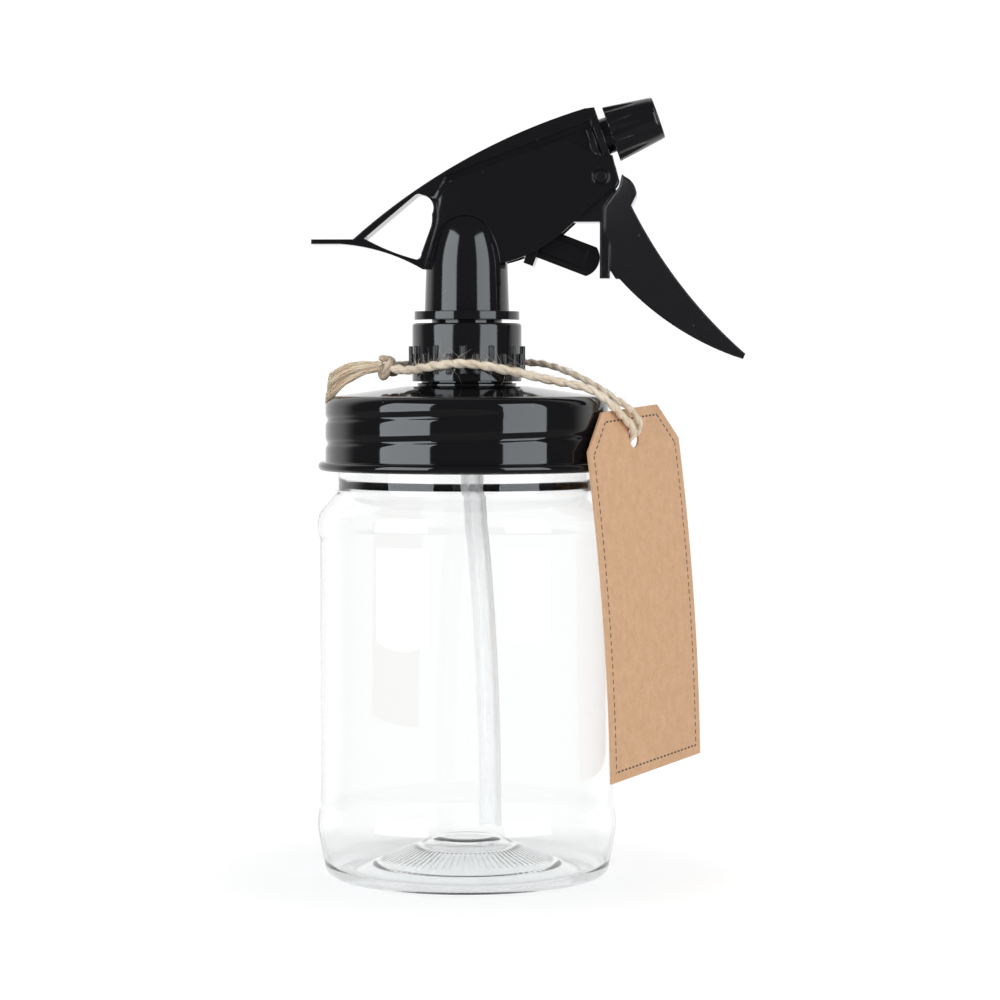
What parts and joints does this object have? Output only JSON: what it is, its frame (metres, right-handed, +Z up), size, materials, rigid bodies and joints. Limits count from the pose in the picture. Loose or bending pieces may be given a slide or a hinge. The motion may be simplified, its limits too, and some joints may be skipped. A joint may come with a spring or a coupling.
{
  "type": "hand mister",
  "caption": "Trigger sprayer screwed onto the lid of a clear mason-style jar, with a card tag on a twine loop.",
  "frame": {"origin": "centre of the ring that the jar stands on, on the jar's upright axis", "axes": "+Z up along the jar's axis, +X the way the nozzle sprays, +Y to the sprayer's left"},
  "size_m": [0.1134, 0.0788, 0.2043],
  "materials": {
    "clear_pet": "clear, thin-walled, glossy",
    "lid_black": "high gloss black",
    "liner_foam": "matt foam",
    "sprayer_black": "gloss black moulded plastic",
    "gasket_rubber": "soft, matt",
    "natural_plastic": "translucent, satin",
    "steel_ball": "polished",
    "spring_steel": "bright wire",
    "jute": "twisted natural fibre, hairy",
    "kraft_card": "uncoated brown card"
  },
  "bodies": {
    "jar": {"jar": "clear_pet"},
    "liner": {"lid_liner": "liner_foam"},
    "lid": {"jar_lid": "lid_black", "twine": "jute", "twine_knot": "jute", "twine_tails": "jute", "hang_tag": "kraft_card"},
    "gasket": {"collar_gasket": "gasket_rubber"},
    "collar": {"screw_collar": "sprayer_black"},
    "head": {"pump_body": "sprayer_black", "head_shell": "sprayer_black", "tube_retainer": "natural_plastic", "dip_tube": "natural_plastic", "swirl_insert": "natural_plastic", "return_spring": "spring_steel", "outlet_spring": "spring_steel"},
    "nozzle_ring": {"nozzle_seal": "gasket_rubber"},
    "nozzle": {"nozzle_cap": "sprayer_black"},
    "trigger": {"trigger": "sprayer_black"},
    "plunger": {"plunger": "sprayer_black", "piston_seal": "natural_plastic"},
    "inlet_ball": {"inlet_ball": "steel_ball"},
    "outlet_ball": {"outlet_ball": "steel_ball"}
  },
  "joints": [
    {"name": "lid_lift", "type": "slide", "parent": "jar", "child": "liner", "axis": [0, 0, 1], "range_m": [0, 0.006]},
    {"name": "lid_turn", "type": "hinge", "parent": "liner", "child": "lid", "pos_m": [0, 0, 0], "axis": [0, 0, 1], "range_deg": [0, 360]},
    {"name": "sprayer_lift", "type": "slide", "parent": "lid", "child": "gasket", "axis": [0, 0, 1], "range_m": [0, 0.00423]},
    {"name": "collar_turn", "type": "hinge", "parent": "gasket", "child": "collar", "pos_m": [0, 0, 0], "axis": [0, 0, 1], "range_deg": [0, 360]},
    {"name": "head_swivel", "type": "hinge", "parent": "gasket", "child": "head", "pos_m": [0, 0, 0], "axis": [0, 0, 1], "continuous": true},
    {"name": "nozzle_slide", "type": "slide", "parent": "head", "child": "nozzle_ring", "axis": [0.9432, 0, 0.3322], "range_m": [0, 0.00175]},
    {"name": "nozzle_turn", "type": "hinge", "parent": "nozzle_ring", "child": "nozzle", "pos_m": [0, 0, 0.1815], "axis": [0.9432, 0, 0.3322], "range_deg": [0, 360]},
    {"name": "trigger_squeeze", "type": "hinge", "parent": "head", "child": "trigger", "pos_m": [0.0353, 0, 0.1835], "axis": [0, 1, 0], "range_deg": [0, 20], "stiffness_Nm_per_rad": 0.6, "springref_deg": -20.05},
    {"name": "plunger_slide", "type": "slide", "parent": "head", "child": "plunger", "axis": [-0.9336, 0, 0.3584], "range_m": [0, 0.0076], "deforming": ["return_spring"]},
    {"name": "inlet_ball_lift", "type": "slide", "parent": "head", "child": "inlet_ball", "axis": [0, 0, 1], "range_m": [0, 0.001]},
    {"name": "outlet_ball_lift", "type": "slide", "parent": "head", "child": "outlet_ball", "axis": [0.9432, 0, 0.3322], "range_m": [0, 0.0008], "stiffness_N_per_m": 60, "springref_m": -0.002, "deforming": ["outlet_spring"]}
  ],
  "couplings": [
    {"joint": "lid_lift", "follows": "lid_turn", "m_per_rad": 0.00095493},
    {"joint": "sprayer_lift", "follows": "collar_turn", "m_per_rad": 0.00067323},
    {"joint": "nozzle_slide", "follows": "nozzle_turn", "m_per_rad": 0.00027852},
    {"joint": "plunger_slide", "follows": "trigger_squeeze", "m_per_rad": 0.0217}
  ]
}
